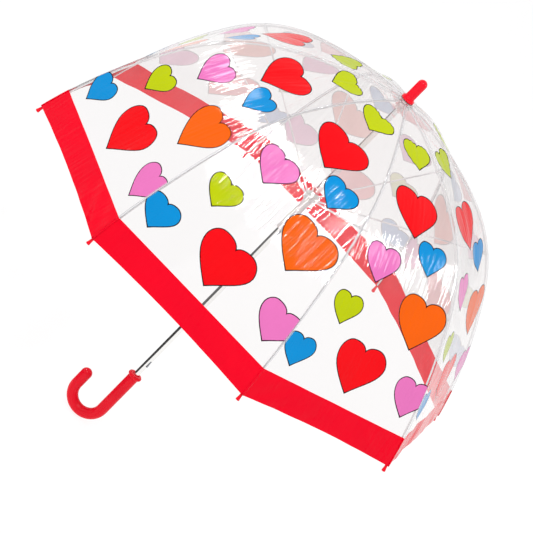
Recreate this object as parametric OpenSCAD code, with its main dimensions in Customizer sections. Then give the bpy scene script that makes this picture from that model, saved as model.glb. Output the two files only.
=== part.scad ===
// Children's dome umbrella, shown open: a clear film canopy on eight jointed ribs,
// a sliding runner with eight stretchers, a steel tube shaft and a crook handle.
// +Z runs up the shaft and the origin is the centre of the straight grip.

/* [Shaft and handle] */
// Outside diameter of the shaft tube
shaft_d = 8; // [7:0.5:10]
// Wall thickness of the shaft tube
shaft_wall = 0.6; // [0.5:0.1:1]
// Diameter of the plastic grip
grip_d = 16; // [14:0.5:20]
// Length of the straight part of the grip, collar included
grip_len = 71.5; // [60:0.5:90]
// Radius of the crook, measured to the middle of the grip
crook_r = 24.5; // [20:0.5:32]
// Length of the crook's short arm, rounded end included
crook_arm = 28; // [20:1:40]
// Diameter of the bead that ends the grip
collar_d = 20.8; // [20:0.2:26]

/* [Frame] */
// Height of the rib hinges above the middle of the grip
hinge_z = 570; // [560:1:600]
// Radius of the ring of hinges round the shaft
hinge_r = 8; // [8:0.25:9]
// Radius of the flattest rib arc, next to the crown
top_arc_r = 540; // [480:10:600]
// Radius of the shoulder arc
shoulder_arc_r = 240; // [220:5:260]
// Radius of the side arc, next to the rim
side_arc_r = 640; // [580:10:700]
// Downward slope of a rib at its hinge, in degrees
crown_slope = 8; // [5:0.5:12]
// Slope where the shoulder arc starts
shoulder_slope = 25; // [22:0.5:28]
// Slope where the stretcher is pinned to the rib
pivot_slope = 44.2; // [40:0.1:48]
// Slope where the side arc starts
side_slope = 56; // [52:0.5:60]
// Slope of a rib at its tip
tip_slope = 74.5; // [70:0.5:78]
// Diameter of the rib rods
rib_d = 2.4; // [2:0.1:2.6]
// Diameter of the stretcher rods
stretcher_d = 2.2; // [1.8:0.1:2.4]

/* [Runner and crown] */
// Outside diameter of the runner's sleeve
sleeve_d = 12; // [11.8:0.1:12.2]
// Length of the sleeve below its ring of stretcher eyes
sleeve_len = 60; // [58:0.5:60.5]
// Diameter of the notched heads on the runner
runner_head_d = 20; // [18:0.5:22]
// Diameter of the notched crown that holds the ribs
crown_d = 23; // [20:0.5:24]
// Diameter of the wire rings that the ribs and stretchers turn on
ring_wire_d = 1.2; // [1:0.1:1.2]

/* [Canopy] */
// Thickness of the clear film
film_t = 0.3; // [0.2:0.05:0.5]
// Gap from the middle of a rib to the film
film_gap = 3; // [2.9:0.1:3.6]
// Width of the red band along the rim
hem_w = 42; // [30:1:60]
// Height that the rim rises between two tips
rim_scallop = 3.5; // [0:0.5:8]

/* [Ferrule and tips] */
// Diameter of the ferrule's straight body
ferrule_d = 13.6; // [13:0.2:16]
// Length of the ferrule's straight body
ferrule_len = 22; // [16:1:30]
// Diameter of the ferrule's flange
flange_d = 18.6; // [17:0.2:21]
// Length of a tip cap
cap_len = 13; // [11:0.5:16]
// Diameter of a tip cap's flared end
cap_end_d = 5.5; // [5:0.1:6.5]

/* [Hidden] */
$fn = 48;
RIBS = 8;
RIB_STEP = 360 / RIBS;
FIRST_RIB = RIB_STEP / 2;
EACH_RIB = [for (k = [0 : RIBS - 1]) k];
KEY_AZIMUTH = -45;

// slack between a shaft and what is fixed to it, and between a hole and what turns in it
fixed_slack = 0.03;
slide_slack = 0.06;
pin_slack = 0.05;
cut = 0.1;

shaft_r = shaft_d / 2;
shaft_bore_r = shaft_r - shaft_wall;
grip_r = grip_d / 2;
grip_top = grip_len / 2;
grip_low = -grip_len / 2;
shaft_low = -22;
shaft_top = hinge_z + 18;

// Ribs and stretchers lie in a plane through the shaft. Their points are [radius, height
// above the hinges], and a slope is an angle below the horizontal.
function arc_centre(start, slope, r) = start - r * [sin(slope), cos(slope)];
function arc_point(centre, slope, r) = centre + r * [sin(slope), cos(slope)];
hinge = [hinge_r, 0];
top_c = arc_centre(hinge, crown_slope, top_arc_r);
shoulder_c = arc_centre(arc_point(top_c, shoulder_slope, top_arc_r), shoulder_slope, shoulder_arc_r);
side_c = arc_centre(arc_point(shoulder_c, side_slope, shoulder_arc_r), side_slope, side_arc_r);
rib_end = arc_point(side_c, tip_slope, side_arc_r);
pivot = arc_point(shoulder_c, pivot_slope, shoulder_arc_r);

// The stretcher is as long as the rib from hinge to pivot, so the runner hangs twice as
// far below the hinges as the pivot does.
link = norm(pivot - hinge);
eye = [hinge_r, 2 * pivot[1]];
runner_z = hinge_z + eye[1];
stretcher_slope = asin(-pivot[1] / link);

// knuckle where rib and stretcher share a rivet, in half widths along the rivet
rivet_r = 0.7;
tongue_half = 0.8;
fork_in = 0.95;
fork_out = 1.65;
clevis_in = 1.8;
clevis_out = 2.6;
knuckle_r = 1.8;
strap_half = 1.5;
socket_r = 1.6;
socket_from = 3.4;
socket_to = 10;
clevis_len = 12;
eye_half = 1.25;
eye_slack = 0.2;
slot_half = 1.4;
notch_floor = sleeve_d / 2;

// spring catches: a leaf in the tube with one tooth that stands out of a slot
catch_half = 1;
catch_proud = 1.45;
catch_tooth = 10;
leaf_in = 2;
leaf_out = 2.8;
leaf_len = 22;
lower_catch_z = 55.2;
upper_catch_z = runner_z - sleeve_len - 0.3;

// heights of the stack on top of the hinges, between crown and ferrule
crown_top = 2.8;
crown_low = -4.5;
film_seat = 3.1;
washer_low = 3.7;
flange_low = 4.3;
flange_t = 3;
foot_h = 3;

// ---- shared shapes ----

// Turns a child drawn in the plane of rib 1 to the plane of rib k.
module at_rib(k) {
    rotate([0, 0, FIRST_RIB + k * RIB_STEP]) translate([0, 0, hinge_z]) children();
}

// A bent rod along one arc of the rib, from one slope to another.
module rod_arc(centre, r, from, to, rod_d) {
    translate([centre[0], 0, centre[1]]) rotate([90, 0, 0]) rotate([0, 0, 90 - to])
        rotate_extrude(angle = to - from) translate([r, 0]) circle(d = rod_d);
}

// A round boss whose axis is the rivet's, from y0 to y1. The turn keeps the cylinder's
// seam clear of every rod and strap that meets it.
module boss(p, r, y0, y1) {
    seam_turn = 72;
    translate([p[0], y1, p[1]]) rotate([90, 0, 0]) rotate([0, 0, seam_turn])
        cylinder(r = r, h = y1 - y0);
}

// Moves a child that is drawn along +X to start at p and run down the given slope.
module along(p, slope) {
    translate([p[0], 0, p[1]]) rotate([0, slope, 0]) children();
}

module bar(from, to, r) {
    translate([from, 0, 0]) rotate([0, 90, 0]) cylinder(r = r, h = to - from);
}

// The moulded collar on a rod that the film is tied to.
module film_clip(p, slope) {
    along(p, slope) bar(-2, 2, rib_d / 2 + 0.3);
}

// Two flat cheeks side by side, as on a fork. The boss at the end of each is a little
// thicker than its strap, so that only the bosses rub.
module cheeks(p, slope, y_in, y_out, reach) {
    proud = 0.05;
    for (low = [y_in, -y_out]) {
        boss(p, knuckle_r, low, low + y_out - y_in);
        along(p, slope) translate([0, low + proud, -strap_half])
            cube([reach, y_out - y_in - 2 * proud, 2 * strap_half]);
    }
}

// The notches that rib or stretcher ends stand in, with the groove for their wire ring.
module notches(outer_r, low, high) {
    for (k = EACH_RIB) rotate([0, 0, FIRST_RIB + k * RIB_STEP])
        translate([notch_floor, -slot_half, low]) cube([outer_r, 2 * slot_half, high - low]);
    groove = ring_wire_d / 2 + pin_slack;
    difference() {
        translate([0, 0, -groove]) cylinder(r = outer_r + cut, h = 2 * groove);
        translate([0, 0, -groove - cut]) cylinder(r = hinge_r - groove, h = 2 * (groove + cut));
    }
}

module wire_ring() {
    color("silver") rotate_extrude() translate([hinge_r, 0]) circle(d = ring_wire_d);
}

// ---- shaft, handle and ferrule ----

module catch_slot(z) {
    rotate([0, 0, KEY_AZIMUTH]) translate([0, -catch_half - cut, z - 0.3])
        cube([shaft_d, 2 * (catch_half + cut), catch_tooth + 0.6]);
}

module shaft() {
    color("silver") difference() {
        translate([0, 0, shaft_low]) cylinder(r = shaft_r, h = shaft_top - shaft_low);
        translate([0, 0, shaft_low - cut])
            cylinder(r = shaft_bore_r, h = shaft_top - shaft_low + 2 * cut);
        catch_slot(lower_catch_z);
        catch_slot(upper_catch_z - catch_tooth);
    }
}

module handle() {
    bead_r = 2.5;
    arm_x = -2 * crook_r;
    color("crimson") difference() {
        union() {
            translate([0, 0, grip_low]) cylinder(r = grip_r, h = grip_len - bead_r);
            translate([0, 0, grip_top - bead_r])
                rotate_extrude() translate([collar_d / 2 - bead_r, 0]) circle(r = bead_r);
            translate([0, 0, grip_top - 2 * bead_r])
                cylinder(r = collar_d / 2 - bead_r, h = 2 * bead_r);
            translate([-crook_r, 0, grip_low]) rotate([90, 0, 0]) rotate([0, 0, 180])
                rotate_extrude(angle = 180) translate([crook_r, 0]) circle(r = grip_r);
            translate([arm_x, 0, grip_low]) cylinder(r = grip_r, h = crook_arm - grip_r);
            translate([arm_x, 0, grip_low + crook_arm - grip_r]) sphere(r = grip_r);
        }
        translate([0, 0, shaft_low - 1])
            cylinder(r = shaft_r + fixed_slack, h = grip_top - shaft_low + 2);
        translate([0, 0, grip_top - 1.2]) cylinder(r = shaft_r + 1, h = 2);
    }
}

module ferrule() {
    r = ferrule_d / 2;
    foot_z = flange_low + flange_t;
    body_z = foot_z + foot_h;
    color("crimson") translate([0, 0, hinge_z]) difference() {
        union() {
            translate([0, 0, flange_low]) cylinder(d = flange_d, h = flange_t);
            translate([0, 0, foot_z]) cylinder(r1 = r + 1.2, r2 = r, h = foot_h);
            translate([0, 0, body_z]) cylinder(r = r, h = ferrule_len);
            translate([0, 0, body_z + ferrule_len]) sphere(r = r);
        }
        translate([0, 0, flange_low - cut])
            cylinder(r = shaft_r + fixed_slack, h = shaft_top - hinge_z - flange_low + 0.5);
    }
}

module canopy_washer() {
    color("white") translate([0, 0, hinge_z + washer_low]) difference() {
        cylinder(r = flange_d / 2 + 1, h = flange_low - washer_low - 0.1);
        translate([0, 0, -cut]) cylinder(r = shaft_r + fixed_slack, h = 2);
    }
}

// ---- crown and runner ----

module crown() {
    hub_low = crown_low - 9;
    color("white") translate([0, 0, hinge_z]) difference() {
        union() {
            translate([0, 0, crown_low]) cylinder(d = crown_d, h = crown_top - crown_low);
            translate([0, 0, hub_low]) cylinder(r = notch_floor, h = 10);
        }
        notches(crown_d / 2, crown_low - cut, crown_top - 0.8);
        translate([0, 0, hub_low - cut])
            cylinder(r = shaft_r + fixed_slack, h = crown_top - hub_low + 2 * cut);
    }
}

module crown_wire() {
    translate([0, 0, hinge_z]) wire_ring();
}

// The keyway runs from above the sleeve's lowest band to its top, so that a catch stands
// free inside it. Either catch holds the runner by an edge of that band.
module runner() {
    head_low = -5;
    head_top = 4.5;
    nose_top = 8;
    key_half = catch_half + 0.3;
    key_reach = shaft_r + catch_proud + 0.15;
    band = 15;
    color("white") translate([0, 0, runner_z]) difference() {
        union() {
            translate([0, 0, -sleeve_len]) cylinder(r = notch_floor, h = sleeve_len + nose_top);
            translate([0, 0, -sleeve_len]) cylinder(r = notch_floor + 0.5, h = 2.5);
            translate([0, 0, head_low]) cylinder(d = runner_head_d, h = head_top - head_low);
        }
        notches(runner_head_d / 2, head_low - cut, head_top + cut);
        translate([0, 0, -sleeve_len - cut])
            cylinder(r = shaft_r + slide_slack, h = sleeve_len + nose_top + 2 * cut);
        rotate([0, 0, KEY_AZIMUTH]) translate([0, -key_half, band - sleeve_len])
            cube([key_reach, 2 * key_half, sleeve_len - band + nose_top + cut]);
        rotate([0, 0, KEY_AZIMUTH]) translate([0, -key_half, band - sleeve_len])
            cube([sleeve_d, 2 * key_half, catch_tooth + 3]);
    }
}

module runner_wire() {
    translate([0, 0, runner_z]) wire_ring();
}

// One catch. Its flat edge is the one that holds, and the long edge is the ramp.
module catch_piece(hold_z, ramp) {
    proud = shaft_r + catch_proud;
    color("silver") rotate([0, 0, KEY_AZIMUTH]) translate([0, catch_half, hold_z])
        rotate([90, 0, 0]) linear_extrude(2 * catch_half)
            polygon([[leaf_in, ramp * -4], [leaf_out, ramp * -4], [leaf_out, 0], [proud, 0],
                     [proud, ramp * 2], [shaft_r, ramp * catch_tooth],
                     [leaf_out, ramp * catch_tooth], [leaf_out, ramp * leaf_len],
                     [leaf_in, ramp * leaf_len]]);
}

module lower_catch() {
    catch_piece(lower_catch_z, 1);
}

module upper_catch() {
    catch_piece(upper_catch_z, -1);
}

// ---- ribs and stretchers ----

module rib_upper(k) {
    neck = socket_from / shoulder_arc_r * 180 / PI;
    color("white") at_rib(k) difference() {
        union() {
            boss(hinge, ring_wire_d / 2 + 1.1, -eye_half, eye_half);
            rod_arc(top_c, top_arc_r, crown_slope + 0.14, shoulder_slope, rib_d);
            rod_arc(shoulder_c, shoulder_arc_r, shoulder_slope, pivot_slope - neck, rib_d);
            film_clip(arc_point(top_c, shoulder_slope, top_arc_r), shoulder_slope);
            along(pivot, pivot_slope + 180) bar(socket_from, socket_to, socket_r);
            along(pivot, pivot_slope + 180) translate([0, -tongue_half, -strap_half])
                cube([socket_from + 1, 2 * tongue_half, 2 * strap_half]);
            boss(pivot, knuckle_r, -tongue_half, tongue_half);
            boss(pivot, rivet_r, -clevis_out - 0.4, clevis_out + 0.4);
            boss(pivot, 1.3, clevis_out + 0.1, clevis_out + 0.5);
            boss(pivot, 1.3, -clevis_out - 0.5, -clevis_out - 0.1);
        }
        boss(hinge, ring_wire_d / 2 + eye_slack, -2, 2);
    }
}

module rib_lower(k) {
    neck = socket_from / shoulder_arc_r * 180 / PI;
    color("white") at_rib(k) difference() {
        union() {
            cheeks(pivot, pivot_slope, fork_in, fork_out, socket_from + 1.2);
            along(pivot, pivot_slope) bar(socket_from, socket_to, socket_r);
            rod_arc(shoulder_c, shoulder_arc_r, pivot_slope + neck, side_slope, rib_d);
            rod_arc(side_c, side_arc_r, side_slope, tip_slope, rib_d);
            film_clip(arc_point(side_c, side_slope, side_arc_r), side_slope);
        }
        boss(pivot, rivet_r + pin_slack, -clevis_out, clevis_out);
    }
}

module stretcher(k) {
    slope = 180 - stretcher_slope;
    color("white") at_rib(k) difference() {
        union() {
            cheeks(pivot, slope, clevis_in, clevis_out, clevis_len);
            along(pivot, slope) translate([clevis_len - 2, -clevis_out + 0.2, -strap_half - 0.2])
                cube([3, 2 * clevis_out - 0.4, 2 * strap_half + 0.4]);
            along(pivot, slope) bar(clevis_len, link - 1.3, stretcher_d / 2);
            boss(eye, ring_wire_d / 2 + 1, -eye_half, eye_half);
        }
        boss(pivot, rivet_r + pin_slack, -clevis_out - cut, clevis_out + cut);
        boss(eye, ring_wire_d / 2 + eye_slack, -2, 2);
    }
}

module tip_cap(k) {
    neck_d = rib_d + 0.8;
    grip = 6;
    steps = 8;
    color("crimson") at_rib(k) along(rib_end, tip_slope)
        translate([-grip, 0, 0]) rotate([0, 90, 0]) difference() {
            rotate_extrude() polygon(concat([[0, 0]],
                [for (i = [0 : steps]) [(neck_d + (cap_end_d - neck_d) * pow(i / steps, 2)) / 2,
                                        (cap_len - 0.8) * i / steps]],
                [[cap_end_d / 2 - 0.5, cap_len], [0, cap_len]]));
            translate([0, 0, -cut]) cylinder(r = rib_d / 2 + pin_slack, h = grip + 0.5);
        }
}

// ---- canopy ----

// A point of the canopy's inner face above a rib, where the rib has the given slope.
function skin(slope, out) =
    slope < shoulder_slope ? arc_point(top_c, slope, top_arc_r + out)
    : slope < side_slope ? arc_point(shoulder_c, slope, shoulder_arc_r + out)
    : arc_point(side_c, slope, side_arc_r + out);

// Rows of a panel, each the pair of its inner and its outer point.
function skin_rows(from, to, n) =
    [for (i = [0 : n]) let (s = from + (to - from) * i / n)
        [skin(s, film_gap), skin(s, film_gap + film_t)]];

hem_slope = tip_slope - (hem_w + 2) / side_arc_r * 180 / PI;
rim_slope = tip_slope - 2 / side_arc_r * 180 / PI;
seat_r = crown_d / 2 + 0.6;
seat_rows = [for (r = [4.7, seat_r]) [[r, film_seat], [r, film_seat + film_t]]];
film_rows = concat(seat_rows,
    skin_rows(crown_slope + 1.8, shoulder_slope, 5),
    skin_rows(shoulder_slope + 4, side_slope, 8),
    skin_rows(side_slope + 3, hem_slope - 0.02, 4));
hem_rows = skin_rows(hem_slope, rim_slope, 3);

// One panel between two ribs, flat from rib to rib. The last row's middle is raised.
module panel(rows, raise) {
    half = RIB_STEP / 2;
    seam = 0.2;
    last = len(rows) - 1;
    pts = [for (i = [0 : last], layer = [0, 1], side = [-1, 0, 1])
        let (p = rows[i][layer])
            [p[0] * cos(half) - (side == 0 && i == last ? raise * cos(tip_slope) : 0),
             side * (p[0] * sin(half) - seam),
             p[1] + (side == 0 && i == last ? raise : 0)]];
    function at(i, layer, side) = i * 6 + layer * 3 + side;
    function quad(a, b, c, d) = [[a, b, c], [a, c, d]];
    faces = [for (i = [0 : last - 1], quads = [
            quad(at(i, 0, 0), at(i, 0, 1), at(i + 1, 0, 1), at(i + 1, 0, 0)),
            quad(at(i, 0, 1), at(i, 0, 2), at(i + 1, 0, 2), at(i + 1, 0, 1)),
            quad(at(i, 1, 1), at(i, 1, 0), at(i + 1, 1, 0), at(i + 1, 1, 1)),
            quad(at(i, 1, 2), at(i, 1, 1), at(i + 1, 1, 1), at(i + 1, 1, 2)),
            quad(at(i, 1, 0), at(i, 0, 0), at(i + 1, 0, 0), at(i + 1, 1, 0)),
            quad(at(i, 0, 2), at(i, 1, 2), at(i + 1, 1, 2), at(i + 1, 0, 2))],
        f = quads) f];
    ends = [for (side = [0, 1], quads = [
            quad(at(0, 0, side), at(0, 1, side), at(0, 1, side + 1), at(0, 0, side + 1)),
            quad(at(last, 0, side + 1), at(last, 1, side + 1), at(last, 1, side),
                 at(last, 0, side))],
        f = quads) f];
    polyhedron(points = pts, faces = concat(faces, ends), convexity = 4);
}

module film_panel(k) {
    color("lightcyan", 0.4) at_rib(k) rotate([0, 0, RIB_STEP / 2]) panel(film_rows, 0);
}

module hem_panel(k) {
    color("red") at_rib(k) rotate([0, 0, RIB_STEP / 2]) panel(hem_rows, rim_scallop);
}

shaft();
handle();
ferrule();
crown();
crown_wire();
canopy_washer();
lower_catch();
upper_catch();
runner();
runner_wire();
for (k = EACH_RIB) {
    rib_upper(k);
    rib_lower(k);
    stretcher(k);
    tip_cap(k);
    film_panel(k);
    hem_panel(k);
}
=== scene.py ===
from math import cos, pi, radians, sin, tau

import bpy
from mathutils import Matrix, Vector, noise
from mathutils.geometry import delaunay_2d_cdt, interpolate_bezier


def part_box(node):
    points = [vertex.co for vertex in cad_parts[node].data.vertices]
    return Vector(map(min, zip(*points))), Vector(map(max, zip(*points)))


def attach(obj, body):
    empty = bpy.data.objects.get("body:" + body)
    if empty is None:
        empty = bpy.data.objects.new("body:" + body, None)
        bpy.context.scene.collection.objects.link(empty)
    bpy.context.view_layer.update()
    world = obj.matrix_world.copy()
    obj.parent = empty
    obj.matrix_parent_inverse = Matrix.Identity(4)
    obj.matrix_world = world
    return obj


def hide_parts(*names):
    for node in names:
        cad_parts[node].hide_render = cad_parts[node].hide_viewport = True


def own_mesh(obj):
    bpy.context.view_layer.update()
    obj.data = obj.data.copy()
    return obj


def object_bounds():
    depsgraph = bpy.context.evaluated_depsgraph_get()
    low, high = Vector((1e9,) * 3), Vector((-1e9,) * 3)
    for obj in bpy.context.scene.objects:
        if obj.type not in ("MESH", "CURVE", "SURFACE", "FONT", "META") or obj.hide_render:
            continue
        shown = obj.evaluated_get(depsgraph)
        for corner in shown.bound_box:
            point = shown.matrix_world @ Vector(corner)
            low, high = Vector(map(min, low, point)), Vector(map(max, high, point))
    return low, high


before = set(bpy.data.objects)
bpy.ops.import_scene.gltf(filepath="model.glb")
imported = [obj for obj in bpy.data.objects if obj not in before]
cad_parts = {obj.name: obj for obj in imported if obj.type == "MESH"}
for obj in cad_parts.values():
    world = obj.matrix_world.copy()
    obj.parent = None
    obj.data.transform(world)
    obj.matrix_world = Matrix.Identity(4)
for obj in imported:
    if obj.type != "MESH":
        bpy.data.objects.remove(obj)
cad_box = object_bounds()


# ---- The view ----
# The umbrella is looked at from a little above the rim, with the camera rolled so
# that the shaft runs from the lower left corner of the frame to the upper right one.

VIEW_TARGET = Vector((0.0222, 0.0010, 0.2769))
VIEW_DISTANCE = 4.1277
VIEW_AZIMUTH = radians(3.767)
VIEW_ELEVATION = radians(20.309)
VIEW_ROLL = radians(44.755)


def looking(azimuth, elevation):
    """The direction of a look at that azimuth, from that height above the horizon."""
    return Vector((-sin(azimuth) * cos(elevation), cos(azimuth) * cos(elevation), -sin(elevation)))


def turned_to(direction, roll=0.0):
    """The turn of a camera or a lamp that looks along a direction."""
    ahead = direction.normalized()
    right = ahead.cross(Vector((0, 0, 1))).normalized()
    up = right.cross(ahead)
    side = right * cos(roll) + up * sin(roll)
    return Matrix((side, (-ahead).cross(side), -ahead)).transposed()


bpy.ops.object.camera_add()
camera = bpy.context.object
camera.name = "studio_camera"
camera.data.lens = 211.9
camera.data.sensor_width = 36.0
camera.data.clip_end = 40.0
look = looking(VIEW_AZIMUTH, VIEW_ELEVATION)
camera.matrix_world = (
    Matrix.Translation(VIEW_TARGET - look * VIEW_DISTANCE) @ turned_to(look, VIEW_ROLL).to_4x4()
)
bpy.context.scene.camera = camera
bpy.context.scene.view_settings.view_transform = "Standard"


# ---- Shared effects ----
# Node groups that more than one finish uses. Each puts out a value or a normal only,
# and the shader that reads it stays in the finish itself.


def new_group(name, inputs, outputs):
    """An empty node group with float inputs (name, value), and its two end nodes."""
    group = bpy.data.node_groups.new(name, "ShaderNodeTree")
    for socket, value in inputs:
        made = group.interface.new_socket(socket, in_out="INPUT", socket_type="NodeSocketFloat")
        made.default_value = value
    for socket, kind in outputs:
        group.interface.new_socket(socket, in_out="OUTPUT", socket_type=kind)
    return group, group.nodes.new("NodeGroupInput"), group.nodes.new("NodeGroupOutput")


def moulded_grain_group():
    """Soft orange peel and fine specks of moulded plastic, as a normal and a mottle value."""
    group, source, result = new_group(
        "moulded_grain",
        [("Scale", 400.0), ("Depth", 0.1)],
        [("Normal", "NodeSocketVector"), ("Mottle", "NodeSocketFloat")],
    )
    nodes, link = group.nodes, group.links.new
    place = nodes.new("ShaderNodeTexCoord")
    peel = nodes.new("ShaderNodeTexNoise")
    peel.inputs["Detail"].default_value = 3.0
    bump = nodes.new("ShaderNodeBump")
    bump.inputs["Distance"].default_value = 0.0004
    patches = nodes.new("ShaderNodeTexNoise")
    patches.inputs["Scale"].default_value = 55.0
    patches.inputs["Detail"].default_value = 4.0
    link(place.outputs["Object"], peel.inputs["Vector"])
    link(place.outputs["Object"], patches.inputs["Vector"])
    link(source.outputs["Scale"], peel.inputs["Scale"])
    link(source.outputs["Depth"], bump.inputs["Strength"])
    link(peel.outputs["Fac"], bump.inputs["Height"])
    link(bump.outputs["Normal"], result.inputs["Normal"])
    link(patches.outputs["Fac"], result.inputs["Mottle"])
    return group


def edge_wear_group():
    """A mask that is 1 on sharp edges, where a finish rubs thin, broken up by noise."""
    group, source, result = new_group("edge_wear", [("Amount", 0.5)], [("Mask", "NodeSocketFloat")])
    nodes, link = group.nodes, group.links.new
    shape = nodes.new("ShaderNodeNewGeometry")
    edges = nodes.new("ShaderNodeMapRange")
    edges.inputs["From Min"].default_value = 0.52
    edges.inputs["From Max"].default_value = 0.62
    place = nodes.new("ShaderNodeTexCoord")
    chips = nodes.new("ShaderNodeTexNoise")
    chips.inputs["Scale"].default_value = 260.0
    broken = nodes.new("ShaderNodeMath")
    broken.operation = "MULTIPLY"
    scaled = nodes.new("ShaderNodeMath")
    scaled.operation = "MULTIPLY"
    link(shape.outputs["Pointiness"], edges.inputs["Value"])
    link(place.outputs["Object"], chips.inputs["Vector"])
    link(edges.outputs["Result"], broken.inputs[0])
    link(chips.outputs["Fac"], broken.inputs[1])
    link(broken.outputs["Value"], scaled.inputs[0])
    link(source.outputs["Amount"], scaled.inputs[1])
    link(scaled.outputs["Value"], result.inputs["Mask"])
    return group


moulded_grain = moulded_grain_group()
edge_wear = edge_wear_group()


def new_finish(name):
    """A material with one Principled shader on its output. The caller sets the shader's sockets."""
    finish = bpy.data.materials.new(name)
    finish.use_nodes = True
    return finish, finish.node_tree.nodes, finish.node_tree.links.new


def placed(nodes, group, **values):
    """That effect group, placed in a material with its values."""
    node = nodes.new("ShaderNodeGroup")
    node.node_tree = group
    for socket, value in values.items():
        node.inputs[socket].default_value = value
    return node


def set_shader(shader, color=None, **values):
    """Sets a Principled shader's constant sockets; an underscore in a name stands for a space."""
    if color is not None:
        shader.inputs["Base Color"].default_value = (*color, 1.0)
    for socket, value in values.items():
        shader.inputs[socket.replace("_", " ")].default_value = value


def plastic_finish(name, color, worn, roughness, scale, depth):
    """Moulded plastic: two close tones mixed by mottle and edge wear, over a fine grain."""
    finish, nodes, link = new_finish(name)
    shader = nodes["Principled BSDF"]
    set_shader(shader, Specular_IOR_Level=0.12, Coat_Weight=0.15, Coat_Roughness=0.04)
    grain = placed(nodes, moulded_grain, Scale=scale, Depth=depth)
    wear = placed(nodes, edge_wear, Amount=0.5)
    tones = nodes.new("ShaderNodeMixRGB")
    tones.inputs[1].default_value = (*color, 1.0)
    tones.inputs[2].default_value = (*[0.86 * c for c in color], 1.0)
    rubbed = nodes.new("ShaderNodeMixRGB")
    rubbed.inputs[2].default_value = (*worn, 1.0)
    gloss = nodes.new("ShaderNodeMapRange")
    gloss.inputs["To Min"].default_value = roughness * 0.75
    gloss.inputs["To Max"].default_value = roughness * 1.35
    link(grain.outputs["Mottle"], tones.inputs[0])
    link(wear.outputs["Mask"], rubbed.inputs[0])
    link(tones.outputs[0], rubbed.inputs[1])
    link(rubbed.outputs[0], shader.inputs["Base Color"])
    link(grain.outputs["Mottle"], gloss.inputs["Value"])
    link(gloss.outputs["Result"], shader.inputs["Roughness"])
    link(grain.outputs["Normal"], shader.inputs["Normal"])
    return finish


def give(finish, *names):
    """Puts a finish on those CAD nodes."""
    for name in names:
        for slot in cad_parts[name].material_slots:
            slot.material = finish


# ---- Shaft and catches ----
# A bright plated steel tube, drawn lengthwise, with two stamped spring catches that
# stand out of slots in its wall. Handling leaves fine lengthwise scratches.


def drawn_steel(name, color, roughness):
    """Bright metal with fine scratches along the shaft."""
    finish, nodes, link = new_finish(name)
    shader = nodes["Principled BSDF"]
    set_shader(shader, Metallic=1.0)
    place = nodes.new("ShaderNodeTexCoord")
    stretch = nodes.new("ShaderNodeMapping")
    stretch.inputs["Scale"].default_value = (900.0, 900.0, 9.0)
    scratches = nodes.new("ShaderNodeTexNoise")
    scratches.inputs["Scale"].default_value = 1.0
    scratches.inputs["Detail"].default_value = 6.0
    tone = nodes.new("ShaderNodeMixRGB")
    tone.inputs[1].default_value = (*color, 1.0)
    tone.inputs[2].default_value = (*[0.9 * c for c in color], 1.0)
    gloss = nodes.new("ShaderNodeMapRange")
    gloss.inputs["To Min"].default_value = roughness * 0.6
    gloss.inputs["To Max"].default_value = roughness * 1.5
    bump = nodes.new("ShaderNodeBump")
    bump.inputs["Strength"].default_value = 0.05
    bump.inputs["Distance"].default_value = 0.0001
    link(place.outputs["Object"], stretch.inputs["Vector"])
    link(stretch.outputs["Vector"], scratches.inputs["Vector"])
    link(scratches.outputs["Fac"], tone.inputs[0])
    link(scratches.outputs["Fac"], gloss.inputs["Value"])
    link(scratches.outputs["Fac"], bump.inputs["Height"])
    link(tone.outputs[0], shader.inputs["Base Color"])
    link(gloss.outputs["Result"], shader.inputs["Roughness"])
    link(bump.outputs["Normal"], shader.inputs["Normal"])
    return finish


give(drawn_steel("plated_tube", (0.93, 0.92, 0.90), 0.10), "shaft")
give(drawn_steel("spring_steel", (0.33, 0.34, 0.37), 0.3), "lower_catch", "upper_catch")
give(drawn_steel("ring_wire", (0.5, 0.5, 0.48), 0.3), "crown_wire", "runner_wire")


# ---- Handle, ferrule and tip caps ----
# Glossy red plastic, moulded: the crook handle with its bead, the ferrule on top of
# the canopy, and the eight caps on the rib ends.

RIBS = 8
RED_PLASTIC = (0.96, 0.002, 0.020)
RUBBED_RED = (0.96, 0.05, 0.06)

give(plastic_finish("red_grip", RED_PLASTIC, RUBBED_RED, 0.24, 320.0, 0.10), "handle")
red_plastic = plastic_finish("red_plastic", RED_PLASTIC, RUBBED_RED, 0.22, 500.0, 0.08)
give(red_plastic, "ferrule", *[f"tip_cap_{rib}" for rib in range(1, RIBS + 1)])


# ---- Crown, runner, ribs and stretchers ----
# White plastic mouldings and white coated rods. The wire rings that they turn on are
# sprung into their grooves.

WHITE_PLASTIC = (0.80, 0.80, 0.79)
RUBBED_WHITE = (0.62, 0.62, 0.60)
ROD_COATING = (0.86, 0.86, 0.87)
RUBBED_COATING = (0.55, 0.55, 0.55)

give(plastic_finish("white_plastic", WHITE_PLASTIC, RUBBED_WHITE, 0.32, 450.0, 0.1), "crown", "runner")
rib_coating = plastic_finish("rib_coating", ROD_COATING, RUBBED_COATING, 0.3, 700.0, 0.08)
for part in ("rib_upper", "rib_lower", "stretcher"):
    give(rib_coating, *[f"{part}_{rib}" for rib in range(1, RIBS + 1)])


# ---- Canopy cut ----
# The canopy is eight gores of clear film, cut to one flat pattern: a distance down
# from the hinges and a distance to the side. The lines below put a flat point in place.

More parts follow.
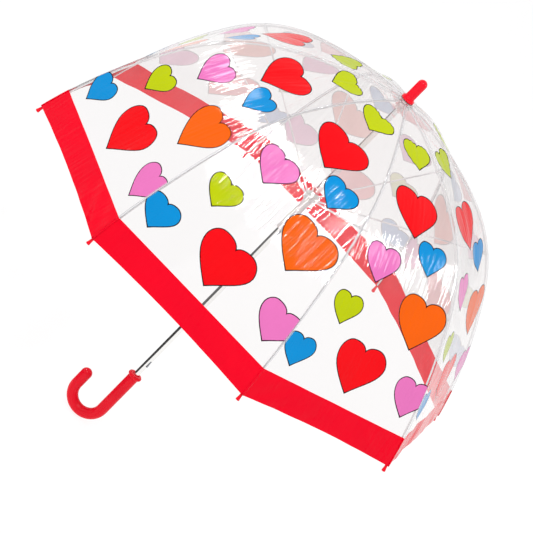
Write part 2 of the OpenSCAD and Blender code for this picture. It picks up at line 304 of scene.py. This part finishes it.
HINGE = (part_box("crown_wire")[0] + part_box("crown_wire")[1]) / 2
HINGE_RADIUS = 0.008
RIB_ARCS = ((0.540, 8.0, 25.0), (0.240, 25.0, 56.0), (0.640, 56.0, 74.5))
KNUCKLE_SLOPE = 44.2
RIB_STEP = tau / RIBS
HALF_STEP = RIB_STEP / 2
FILM_GAP = 0.0031
FILM_THICKNESS = 0.00016
SEAM_GAP = 0.0004
FILM_HOLE_RADIUS = 0.0047
SEAT_RADIUS = 0.0121
SEAT_HEIGHT = 0.0032
HEM_WIDTH = 0.042
RIM_INSET = 0.002
RIM_SCALLOP = 0.0035
RAMP_START = 0.0035
RAMP_END = 0.017
PLEATS = 9.0
PLEAT_DEPTH = 0.0011
PLEAT_REACH = 0.15
PLEAT_RUN_IN = 0.03
SAG = 0.0022
SLACK_DEPTH = 0.0026
FOLD_DEPTH = 0.0011
CURL_DEPTH = 0.0044
CURL_START = 0.33


def arcs_from(start_radius):
    """The rib's arcs as (first length, centre radius, centre height, arc radius, slope, slope)."""
    place = Vector((start_radius, 0.0))
    length = 0.0
    for radius, first, last in RIB_ARCS:
        first, last = radians(first), radians(last)
        centre = place - radius * Vector((sin(first), cos(first)))
        yield length, centre, radius, first
        place = centre + radius * Vector((sin(last), cos(last)))
        length += radius * (last - first)
    yield length, place, 0.0, radians(RIB_ARCS[-1][2])


ARCS = list(arcs_from(HINGE_RADIUS))
RIB_LENGTH = ARCS[-1][0]
RIM_LINE = RIB_LENGTH - RIM_INSET
HEM_LINE = RIM_LINE - HEM_WIDTH
KNUCKLE_LINE = ARCS[1][0] + ARCS[1][2] * (radians(KNUCKLE_SLOPE) - ARCS[1][3])


def rib_place(down, out=0.0):
    """(radius, height above the hinges) of a point down the rib, that far outside its middle."""
    length, centre, radius, slope = [arc for arc in ARCS[:3] if arc[0] <= down or arc is ARCS[0]][-1]
    slope += (down - length) / radius
    return centre + (radius + out) * Vector((sin(slope), cos(slope)))


def film_place(down, out=0.0):
    """(radius, height) of the film over a rib, which starts flat on the crown and ramps down."""
    if down >= RAMP_END:
        return rib_place(down, FILM_GAP + out)
    ramp_foot = rib_place(RAMP_END, FILM_GAP + out)
    seat = Vector((SEAT_RADIUS, SEAT_HEIGHT + out))
    if down <= RAMP_START:
        return seat + Vector((down - RAMP_START, 0.0))
    return seat.lerp(ramp_foot, (down - RAMP_START) / (RAMP_END - RAMP_START))


FILM_START = RAMP_START - (SEAT_RADIUS - FILM_HOLE_RADIUS)


def half_width(down):
    """Half the width of a gore, from its middle to the seam."""
    return film_place(down)[0] * sin(HALF_STEP) - SEAM_GAP


def creases(gore, down, side):
    """How far the film stands off the straight line between its ribs, in metres."""
    across = side / half_width(down)
    free = 1.0 - across * across
    near_crown = max(0.0, 1.0 - down / PLEAT_REACH)
    run_in = min(1.0, down / PLEAT_RUN_IN)
    pleats = PLEAT_DEPTH * near_crown * run_in * sin(PLEATS * pi * across + 1.7 * gore)
    sag = -SAG * sin(pi * min(1.0, max(0.0, down) / RIM_LINE))
    slack = noise.noise(Vector((side * 14.0 + gore * 3.1, down * 5.0, gore * 1.7)))
    fold = noise.noise(Vector((side * 42.0 + down * 11.0, down * 9.0 - gore * 2.3, gore * 5.1)))
    near_rim = max(0.0, (down - CURL_START) / (RIM_LINE - CURL_START))
    wave = sin((RIM_LINE - down) * 190.0 + abs(side) * 130.0 + gore)
    curl = CURL_DEPTH * near_rim * wave * across * across * (1.0 - abs(across))
    return free * (pleats + sag + SLACK_DEPTH * slack + FOLD_DEPTH * fold) + curl


def film_point(gore, down, side, out):
    """The place of a point of the flat pattern on gore number gore, in the row frame."""
    radius, height = film_place(down, out + creases(gore, down, side))
    turn = gore * RIB_STEP
    outward = radius * cos(HALF_STEP)
    return Vector((
        outward * cos(turn) - side * sin(turn),
        outward * sin(turn) + side * cos(turn),
        HINGE.z + height,
    ))


# ---- Canopy print ----
# Every gore has the same nine hearts, printed on the clear film in flat inks with a
# thin dark line round each. They point to the rim, and two of them run into the seams.

HEART_TURN = radians(5.0)
OUTLINE_WIDTH = 0.0013
HEARTS = (
    ("blue", 0.408, -0.098, 0.048),
    ("red", 0.392, 0.000, 0.077),
    ("pink", 0.398, 0.099, 0.058),
    ("green", 0.334, -0.062, 0.046),
    ("orange", 0.306, 0.056, 0.077),
    ("pink", 0.262, -0.040, 0.055),
    ("blue", 0.228, 0.037, 0.048),
    ("red", 0.176, -0.004, 0.074),
    ("green", 0.088, -0.002, 0.048),
)
HEART_CURVES = (
    ((0.02, 0.175), (0.05, 0.250), (0.12, 0.285), (0.25, 0.285)),
    ((0.25, 0.285), (0.40, 0.285), (0.51, 0.170), (0.52, 0.030)),
    ((0.52, 0.030), (0.52, -0.160), (0.29, -0.290), (0.00, -0.555)),
    ((0.00, -0.555), (-0.32, -0.300), (-0.50, -0.120), (-0.50, 0.090)),
    ((-0.50, 0.090), (-0.50, 0.210), (-0.41, 0.320), (-0.29, 0.325)),
    ((-0.29, 0.325), (-0.14, 0.330), (-0.01, 0.280), (0.02, 0.175)),
)
CURVE_STEPS = 9
TIP_TAIL = 1.6
KEPT_APART = 0.92


def distance_to_line(point, line):
    """The distance from a point to a closed line of points."""
    nearest = []
    for start, end in zip(line, line[1:] + line[:1]):
        run = end - start
        share = min(1.0, max(0.0, (point - start).dot(run) / run.dot(run)))
        nearest.append((point - start - share * run).length)
    return min(nearest)


def heart_outline(grow):
    """A heart one unit wide, tip down, as points clockwise from its notch.

    It can be grown outwards all round. Points that would cross at the notch are dropped."""
    points = []
    for curve in HEART_CURVES:
        points += interpolate_bezier(*map(Vector, curve), CURVE_STEPS)[:-1]
    lowest = min(points, key=lambda p: p.y)
    grown = []
    for i, point in enumerate(points):
        along = points[(i + 1) % len(points)] - points[i - 1]
        away = Vector((-along.y, along.x)).normalized() * (TIP_TAIL if point == lowest else 1.0)
        grown.append(Vector((point.x, point.y)) + grow * away)
    return [point for point in grown if distance_to_line(point, points) >= KEPT_APART * grow]


def printed_heart(down, side, width, grow=0.0):
    """That heart's outline on the flat pattern, as (side, down) points."""
    across = Vector((cos(HEART_TURN), -sin(HEART_TURN)))
    upward = Vector((-sin(HEART_TURN), -cos(HEART_TURN)))
    middle = Vector((side, down))
    return [middle + width * (p.x * across + p.y * upward) for p in heart_outline(grow / width)]


# ---- Flat pattern ----
# One gore is meshed flat, with the hearts, the hem line and the fold lines as edges.
# It is cut where the frame folds: down the middle, and across at the knuckles.

GRID = 0.0046
EDGE_STEP = 0.006
RIM_STEPS = 44
CLEAR_OF_PRINT = 0.0016
CLEAR_OF_FOLD = 0.0015
CLEAR_OF_RIM = 0.002


def rim_down(side):
    """The rim rises between the ribs in a shallow curve."""
    return RIM_LINE - RIM_SCALLOP * (1.0 - (side / half_width(RIM_LINE)) ** 2)


def gore_outline():
    """The gore's edge, down its right side, along the rim and up its left side."""
    steps = int((RIM_LINE - FILM_START) / EDGE_STEP)
    downs = [FILM_START + (RIM_LINE - FILM_START) * i / steps for i in range(steps + 1)]
    downs = sorted(set(downs + [KNUCKLE_LINE, HEM_LINE]))
    right = [Vector((half_width(d), d)) for d in downs]
    rim = [half_width(RIM_LINE) * (1.0 - 2.0 * i / RIM_STEPS) for i in range(1, RIM_STEPS)]
    left = [Vector((-p.x, p.y)) for p in reversed(right)]
    return right + [Vector((x, rim_down(x))) for x in rim] + left


def straight_run(start, end):
    """Points about one grid step apart on a straight line."""
    steps = max(1, round((end - start).length / GRID))
    return [start.lerp(end, i / steps) for i in range(steps + 1)]


class FlatPattern:
    """The points, edges and faces that the flat mesh is made from."""

    def __init__(self):
        self.points = []
        self.edges = []
        self.loops = []

    def run(self, points):
        """Adds an open line."""
        first = len(self.points)
        self.points.extend(points)
        self.edges.extend((i, i + 1) for i in range(first, first + len(points) - 1))

    def loop(self, points):
        """Adds a closed area and gives its number."""
        first = len(self.points)
        self.points.extend(points)
        self.loops.append(list(range(first, first + len(points))))
        return len(self.loops) - 1


def stands_free(spot, prints):
    """Whether a point of the grid keeps clear of the folds, the rim and the prints."""
    if min(abs(spot.y - HEM_LINE), abs(spot.y - KNUCKLE_LINE), abs(spot.x)) <= CLEAR_OF_FOLD:
        return False
    if spot.y >= rim_down(spot.x) - CLEAR_OF_RIM:
        return False
    return min((spot - point).length for line in prints for point in line) > CLEAR_OF_PRINT


def ink_at(down, covers):
    """The ink of a triangle, from the prints that cover it: a fill lies over an outline."""
    fills = [ink for ink in covers if ink != "outline"]
    if down > HEM_LINE:
        return "red_band"
    if fills:
        return fills[-1]
    return "outline" if covers else "clear"


def band_at(down):
    """The part of the gore that a point is in: above the knuckles, below them, or the hem."""
    if down > HEM_LINE:
        return "hem"
    return "upper" if down < KNUCKLE_LINE else "lower"


def meshed_pattern():
    """Flat points, and triangles as (corners, ink, half, band): what a gore is built from."""
    pattern = FlatPattern()
    gore = pattern.loop(gore_outline())
    pattern.run(straight_run(Vector((0.0, FILM_START)), Vector((0.0, rim_down(0.0)))))
    for down in (KNUCKLE_LINE, HEM_LINE):
        pattern.run(straight_run(Vector((-half_width(down), down)), Vector((half_width(down), down))))
    inks, prints = {}, []
    for ink, down, side, width in HEARTS:
        line = printed_heart(down, side, width, OUTLINE_WIDTH)
        fill = printed_heart(down, side, width)
        inks[pattern.loop(line)] = "outline"
        inks[pattern.loop(fill)] = ink
        prints += [line, fill]
    rows = int((RIM_LINE - FILM_START) / GRID)
    for row in range(1, rows):
        down = FILM_START + GRID * row
        reach = half_width(down) - GRID * 0.6
        steps = max(1, round(2 * reach / GRID))
        for i in range(steps + 1):
            spot = Vector((-reach + 2 * reach * i / steps + (row % 2) * GRID * 0.25, down))
            if abs(spot.x) < reach and stands_free(spot, prints):
                pattern.points.append(spot)
    found = delaunay_2d_cdt(pattern.points, pattern.edges, pattern.loops, 1, 1e-6, True)
    flat, corners, origins = found[0], found[2], found[5]
    triangles = []
    for triangle, origin in zip(corners, origins):
        if gore not in origin:
            continue
        middle = sum((flat[i] for i in triangle), Vector((0.0, 0.0))) / 3
        ink = ink_at(middle.y, [inks[loop] for loop in origin if loop in inks])
        half = "b" if middle.x > 0 else "a"
        triangles.append((tuple(triangle), ink, half, band_at(middle.y)))
    return flat, triangles


FLAT, TRIANGLES = meshed_pattern()


# ---- Film and inks ----
# Clear soft film, a little milky, that shows mostly by what it reflects. The inks lie
# under a gloss, and a white backing shows on the inside of the canopy.


STREAK_DEPTH = 0.8


def film_streaks_group():
    """Ripples that run down the film, as a normal, and a cloud value, from the piece's UV map."""
    group, source, result = new_group(
        "film_streaks",
        [("Depth", 0.3)],
        [("Normal", "NodeSocketVector"), ("Cloud", "NodeSocketFloat")],
    )
    nodes, link = group.nodes, group.links.new
    place = nodes.new("ShaderNodeTexCoord")
    stretch = nodes.new("ShaderNodeMapping")
    stretch.inputs["Scale"].default_value = (190.0, 15.0, 1.0)
    stretch.inputs["Rotation"].default_value = (0.0, 0.0, radians(7.0))
    ripples = nodes.new("ShaderNodeTexNoise")
    ripples.inputs["Scale"].default_value = 1.0
    ripples.inputs["Detail"].default_value = 1.0
    ripples.inputs["Roughness"].default_value = 0.4
    bump = nodes.new("ShaderNodeBump")
    bump.inputs["Distance"].default_value = 0.0010
    clouds = nodes.new("ShaderNodeTexNoise")
    clouds.inputs["Scale"].default_value = 14.0
    clouds.inputs["Detail"].default_value = 6.0
    link(place.outputs["UV"], stretch.inputs["Vector"])
    link(place.outputs["UV"], clouds.inputs["Vector"])
    link(stretch.outputs["Vector"], ripples.inputs["Vector"])
    link(ripples.outputs["Fac"], bump.inputs["Height"])
    link(source.outputs["Depth"], bump.inputs["Strength"])
    link(bump.outputs["Normal"], result.inputs["Normal"])
    link(clouds.outputs["Fac"], result.inputs["Cloud"])
    return group


film_streaks = film_streaks_group()


def film_finish(name, tint, haze, haze_color):
    """Film that light goes through, with a cloudy haze, under a gloss that grows to its edges."""
    finish, nodes, link = new_finish(name)
    milky = nodes["Principled BSDF"]
    set_shader(milky, color=haze_color, Roughness=0.35)
    through = nodes.new("ShaderNodeBsdfTransparent")
    through.inputs["Color"].default_value = (*tint, 1.0)
    gloss = nodes.new("ShaderNodeBsdfPrincipled")
    set_shader(gloss, color=(1.0, 1.0, 1.0), Metallic=1.0, Roughness=0.03)
    streaks = placed(nodes, film_streaks, Depth=STREAK_DEPTH)
    place = nodes.new("ShaderNodeTexCoord")
    clouds = nodes.new("ShaderNodeTexNoise")
    clouds.inputs["Scale"].default_value = 18.0
    clouds.inputs["Detail"].default_value = 5.0
    amount = nodes.new("ShaderNodeMapRange")
    amount.inputs["To Min"].default_value = haze * 0.5
    amount.inputs["To Max"].default_value = haze * 1.5
    body = nodes.new("ShaderNodeMixShader")
    surface = nodes.new("ShaderNodeMixShader")
    glancing = nodes.new("ShaderNodeLayerWeight")
    glancing.inputs["Blend"].default_value = 0.5
    rise = nodes.new("ShaderNodeMath")
    rise.operation = "POWER"
    rise.inputs[1].default_value = 4.0
    shine = nodes.new("ShaderNodeMapRange")
    shine.inputs["To Min"].default_value = 0.045
    shine.inputs["To Max"].default_value = 0.75
    side = nodes.new("ShaderNodeNewGeometry")
    one_side = nodes.new("ShaderNodeMixRGB")
    one_side.inputs[2].default_value = (0.0, 0.0, 0.0, 1.0)
    link(place.outputs["UV"], clouds.inputs["Vector"])
    link(clouds.outputs["Fac"], amount.inputs["Value"])
    link(amount.outputs["Result"], body.inputs["Fac"])
    link(through.outputs["BSDF"], body.inputs[1])
    link(milky.outputs["BSDF"], body.inputs[2])
    link(streaks.outputs["Normal"], gloss.inputs["Normal"])
    link(glancing.outputs["Facing"], rise.inputs[0])
    link(rise.outputs["Value"], shine.inputs["Value"])
    link(side.outputs["Backfacing"], one_side.inputs[0])
    link(shine.outputs["Result"], one_side.inputs[1])
    link(one_side.outputs[0], surface.inputs["Fac"])
    link(body.outputs["Shader"], surface.inputs[1])
    link(gloss.outputs["BSDF"], surface.inputs[2])
    link(surface.outputs["Shader"], nodes["Material Output"].inputs["Surface"])
    return finish


def ink_finish(name, color, roughness=0.05, gloss=0.10):
    """Flat ink in two close tones. Its gloss shows the film's own ripples."""
    finish, nodes, link = new_finish(name)
    shader = nodes["Principled BSDF"]
    set_shader(shader, Specular_IOR_Level=gloss)
    streaks = placed(nodes, film_streaks, Depth=STREAK_DEPTH)
    tone = nodes.new("ShaderNodeMixRGB")
    tone.inputs[1].default_value = (*color, 1.0)
    tone.inputs[2].default_value = (*[0.86 * c for c in color], 1.0)
    rough = nodes.new("ShaderNodeMapRange")
    rough.inputs["To Min"].default_value = roughness * 0.7
    rough.inputs["To Max"].default_value = roughness * 1.3
    link(streaks.outputs["Cloud"], tone.inputs[0])
    link(streaks.outputs["Cloud"], rough.inputs["Value"])
    link(tone.outputs[0], shader.inputs["Base Color"])
    link(rough.outputs["Result"], shader.inputs["Roughness"])
    link(streaks.outputs["Normal"], shader.inputs["Normal"])
    return finish


INKS = {
    "clear": film_finish("clear_film", (0.969, 0.961, 0.960), 0.03, (0.90, 0.87, 0.87)),
    "red_band": ink_finish("red_band", (0.95, 0.0005, 0.019), gloss=0.07),
}
INK_COLORS = {
    "outline": (0.012, 0.002, 0.004),
    "red": (0.93, 0.001, 0.006),
    "orange": (0.93, 0.125, 0.001),
    "green": (0.53, 0.62, 0.001),
    "blue": (0.001, 0.285, 0.69),
    "pink": (0.84, 0.190, 0.53),
}
WHITE_BACKING = 0.97
SHOWN_THROUGH = 0.26
BACKING = dict(INKS)
for ink, ink_color in INK_COLORS.items():
    backing_color = [WHITE_BACKING + (part - WHITE_BACKING) * SHOWN_THROUGH for part in ink_color]
    INKS[ink] = ink_finish(f"ink_{ink}", ink_color)
    BACKING[ink] = ink_finish(f"backing_{ink}", backing_color)
FINISHES = list(INKS.values()) + [BACKING[ink] for ink in INK_COLORS]


# ---- Gores ----
# Each quarter of a gore is one closed sheet of film, tied to the rib bar under its
# outer edge.

BULGE = {"upper": 0.010, "lower": 0.006, "hem": 0.006}
UV_STEP = 0.37


def link_mesh(name, points, faces, finishes, used):
    """A new piece from points and faces, with one finish for each face."""
    mesh = bpy.data.meshes.new(name)
    mesh.from_pydata(points, [], faces)
    for finish in finishes:
        mesh.materials.append(finish)
    mesh.polygons.foreach_set("material_index", used)
    mesh.polygons.foreach_set("use_smooth", [True] * len(faces))
    piece = bpy.data.objects.new(name, mesh)
    bpy.context.scene.collection.objects.link(piece)
    return piece


def sheet_from(name, gore, triangles):
    """A closed two-sided sheet from some of the pattern's triangles."""
    order = sorted({i for corners, *_ in triangles for i in corners})
    count = len(order)
    at = {flat: i for i, flat in enumerate(order)}
    outer = [film_point(gore, FLAT[i].y, FLAT[i].x, FILM_THICKNESS) for i in order]
    inner = [film_point(gore, FLAT[i].y, FLAT[i].x, 0.0) for i in order]
    faces, used, rim = [], [], {}
    for corners, ink, *_ in triangles:
        a, b, c = (at[i] for i in corners)
        flat = [FLAT[i] for i in corners]
        if (flat[1] - flat[0]).cross(flat[2] - flat[0]) > 0:
            b, c = c, b
        faces += [(a, b, c), (a + count, c + count, b + count)]
        used += [FINISHES.index(INKS[ink]), FINISHES.index(BACKING[ink])]
        for edge in ((a, b), (b, c), (c, a)):
            if edge[::-1] in rim:
                del rim[edge[::-1]]
            else:
                rim[edge] = FINISHES.index(INKS[ink])
    for (a, b), finish in rim.items():
        faces.append((b, a, a + count, b + count))
        used.append(finish)
    piece = link_mesh(name, outer + inner, faces, FINISHES, used)
    chart = piece.data.uv_layers.new(name="pattern")
    for loop in piece.data.loops:
        spot = FLAT[order[loop.vertex_index % count]]
        chart.data[loop.index].uv = (spot.x + gore * UV_STEP, spot.y)
    walls = {tuple(sorted(edge)) for a, b in rim for edge in ((a, b), (a + count, b + count))}
    for edge in piece.data.edges:
        edge.use_edge_sharp = tuple(sorted(edge.vertices)) in walls
    return piece


def fold_to_rib(piece, rib, band):
    """Works out an anchor point on the chord of the piece's rib bar, and gives the piece its own copy
    of its mesh.
    """
    chord_end = rib_place(KNUCKLE_LINE) if band == "upper" else rib_place(RIB_LENGTH)
    chord_start = rib_place(0.0) if band == "upper" else rib_place(KNUCKLE_LINE)
    chord = (chord_end - chord_start).normalized()
    outward = BULGE[band] * Vector((-chord.y, 0.0, chord.x))
    anchor = Vector((chord_start.x, 0.0, chord_start.y)) + outward
    turn = Matrix.Rotation(HALF_STEP + (rib - 1) * RIB_STEP, 3, "Z")
    anchor = turn @ anchor + Vector((0, 0, HINGE.z))
    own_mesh(piece)


def rib_beside(gore, half):
    """The rib that a half of a gore is tied to, and the side of that rib it lies on."""
    if half == "a":
        return gore, 1.0
    return gore % RIBS + 1, -1.0


def gore_quarter(gore, half, band):
    """One piece of film or of hem, with the rib that carries it."""
    triangles = [t for t in TRIANGLES if t[2] == half and t[3] == band]
    rib, side = rib_beside(gore, half)
    kind = "hem" if band == "hem" else f"film_{band}"
    piece = sheet_from(f"{kind}_{gore}_{half}", gore, triangles)
    bar = "rib_upper" if band == "upper" else "rib_lower"
    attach(piece, f"{bar}_{rib}")
    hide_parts(f"hem_panel_{gore}" if band == "hem" else f"film_panel_{gore}")
    fold_to_rib(piece, rib, band)


for gore in range(1, RIBS + 1):
    for half in "ab":
        for band in ("upper", "lower", "hem"):
            gore_quarter(gore, half, band)


# ---- Seams ----
# The gores are heat welded along each rib. The weld is a narrow frosted strip of the
# same film, red over the hem, and it stays on its rib when the umbrella is closed.

SEAM_WIDTH = 0.0034
SEAM_THICKNESS = 0.0004
SEAM_CLEARANCE = 0.00005
SEAM_STEPS = 40
SEAM_UV_STEP = 0.21

frosted = film_finish("frosted_weld", (0.95, 0.95, 0.955), 0.13, (0.86, 0.86, 0.88))


def seam_strip(name, rib, start, end, finish, body, steps):
    """A narrow closed strip along a rib, crowned across its width."""
    turn = HALF_STEP + (rib - 1) * RIB_STEP
    profile = ((-0.5, 0.0), (-0.25, 0.8), (0.0, 1.0), (0.25, 0.8), (0.5, 0.0))
    points, faces = [], []
    for i in range(steps + 1):
        down = start + (end - start) * i / steps
        for across, crowned in profile:
            raised = FILM_THICKNESS + SEAM_CLEARANCE + SEAM_THICKNESS * crowned
            radius, height = film_place(down, raised)
            side = SEAM_WIDTH * across
            points.append(Vector((
                radius * cos(turn) - side * sin(turn),
                radius * sin(turn) + side * cos(turn),
                HINGE.z + height,
            )))
    row = len(profile)
    for i in range(steps):
        for j in range(row - 1):
            a = i * row + j
            faces.append((a, a + row, a + row + 1, a + 1))
        a = i * row
        faces.append((a + row - 1, a + 2 * row - 1, a + row, a))
    faces.append(tuple(range(row)))
    faces.append(tuple(reversed(range(steps * row, (steps + 1) * row))))
    piece = link_mesh(name, points, faces, [finish], [0] * len(faces))
    chart = piece.data.uv_layers.new(name="pattern")
    for loop in piece.data.loops:
        i, j = divmod(loop.vertex_index, row)
        down = start + (end - start) * i / steps
        chart.data[loop.index].uv = (profile[j][0] * SEAM_WIDTH + rib * SEAM_UV_STEP, down)
    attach(piece, body)


for rib in range(1, RIBS + 1):
    upper, lower = f"rib_upper_{rib}", f"rib_lower_{rib}"
    seam_strip(f"seam_upper_{rib}", rib, RAMP_START, KNUCKLE_LINE, frosted, upper, SEAM_STEPS)
    seam_strip(f"seam_lower_{rib}", rib, KNUCKLE_LINE, HEM_LINE, frosted, lower, SEAM_STEPS)
    seam_strip(f"hem_seam_{rib}", rib, HEM_LINE, RIM_LINE, INKS["red_band"], lower, SEAM_STEPS // 4)


# ---- Washer ----
# A clear disc of soft plastic between the ferrule and the film, so that the flange
# doesn't cut the film.

give(INKS["clear"], "canopy_washer")


# ---- Studio ----
# A plain pale floor and soft light from all round, with narrow softboxes whose
# reflections run down the film, and a black card that the bright tube mirrors.

LIT_POINT = Vector((0.0, 0.0, 0.35))
PAPER_GLOW = 0.885
CARD_SIZE = 2.2


def softbox(name, toward, distance, size, power):
    """A lamp that far from the umbrella's middle, facing it."""
    bpy.ops.object.light_add(type="AREA")
    lamp = bpy.context.object
    lamp.name = name
    lamp.data.shape = "RECTANGLE"
    lamp.data.size, lamp.data.size_y = size
    lamp.data.energy = power
    away = Vector(toward).normalized()
    lamp.matrix_world = Matrix.Translation(LIT_POINT + away * distance) @ turned_to(-away).to_4x4()


softbox("softbox_front", (-0.02, -0.60, 0.80), 3.0, (0.09, 2.0), 50.0)
softbox("softbox_right", (0.76, 0.11, 0.63), 3.0, (0.16, 1.2), 20.0)
softbox("softbox_left", (-0.82, 0.18, 0.55), 3.0, (0.16, 1.2), 18.0)
softbox("softbox_key", (-0.75, -0.9, 1.0), 3.2, (1.4, 1.4), 9.0)

bpy.ops.object.select_all(action="DESELECT")
bpy.ops.mesh.primitive_plane_add(size=60.0, location=(0.0, 0.0, cad_box[0][2] - 0.0005))
floor = bpy.context.object
floor.name = "studio_floor"
floor_finish, floor_nodes, floor_link = new_finish("studio_paper")
floor_shader = floor_nodes["Principled BSDF"]
set_shader(floor_shader, Roughness=0.9)
floor_shader.inputs["Emission Color"].default_value = (1.0, 1.0, 1.0, 1.0)
floor_shader.inputs["Emission Strength"].default_value = PAPER_GLOW
paper = floor_nodes.new("ShaderNodeTexNoise")
paper.inputs["Scale"].default_value = 40.0
paper_tone = floor_nodes.new("ShaderNodeMixRGB")
paper_tone.inputs[1].default_value = (0.14, 0.14, 0.14, 1.0)
paper_tone.inputs[2].default_value = (0.16, 0.16, 0.16, 1.0)
floor_link(paper.outputs["Fac"], paper_tone.inputs[0])
floor_link(paper_tone.outputs[0], floor_shader.inputs["Base Color"])
floor.data.materials.append(floor_finish)

# The card lies on the floor and shows only in reflections.
bpy.ops.object.select_all(action="DESELECT")
bpy.ops.mesh.primitive_plane_add(size=CARD_SIZE, location=(-1.22, 0.25, cad_box[0][2] + 0.002))
card = bpy.context.object
card.name = "studio_card"
card_finish, card_nodes, _ = new_finish("card_black")
set_shader(card_nodes["Principled BSDF"], color=(0.01, 0.01, 0.01), Roughness=1.0)
card.data.materials.append(card_finish)
card.visible_camera = False
card.visible_diffuse = False
card.visible_shadow = False

# The air is dimmer as a light than as a background or a reflection.
world = bpy.data.worlds.new("studio_air")
bpy.context.scene.world = world
world.use_nodes = True
air, air_link = world.node_tree.nodes, world.node_tree.links.new
ray = air.new("ShaderNodeLightPath")
level = air.new("ShaderNodeMapRange")
level.inputs["To Min"].default_value = 0.36
level.inputs["To Max"].default_value = 1.0
bright = air.new("ShaderNodeMath")
bright.operation = "MULTIPLY_ADD"
bright.inputs[1].default_value = 0.85
air_link(ray.outputs["Is Glossy Ray"], bright.inputs[0])
air_link(ray.outputs["Is Camera Ray"], bright.inputs[2])
air_link(bright.outputs["Value"], level.inputs["Value"])
air_link(level.outputs["Result"], air["Background"].inputs["Strength"])
air["Background"].inputs["Color"].default_value = (1.0, 1.0, 1.0, 1.0)
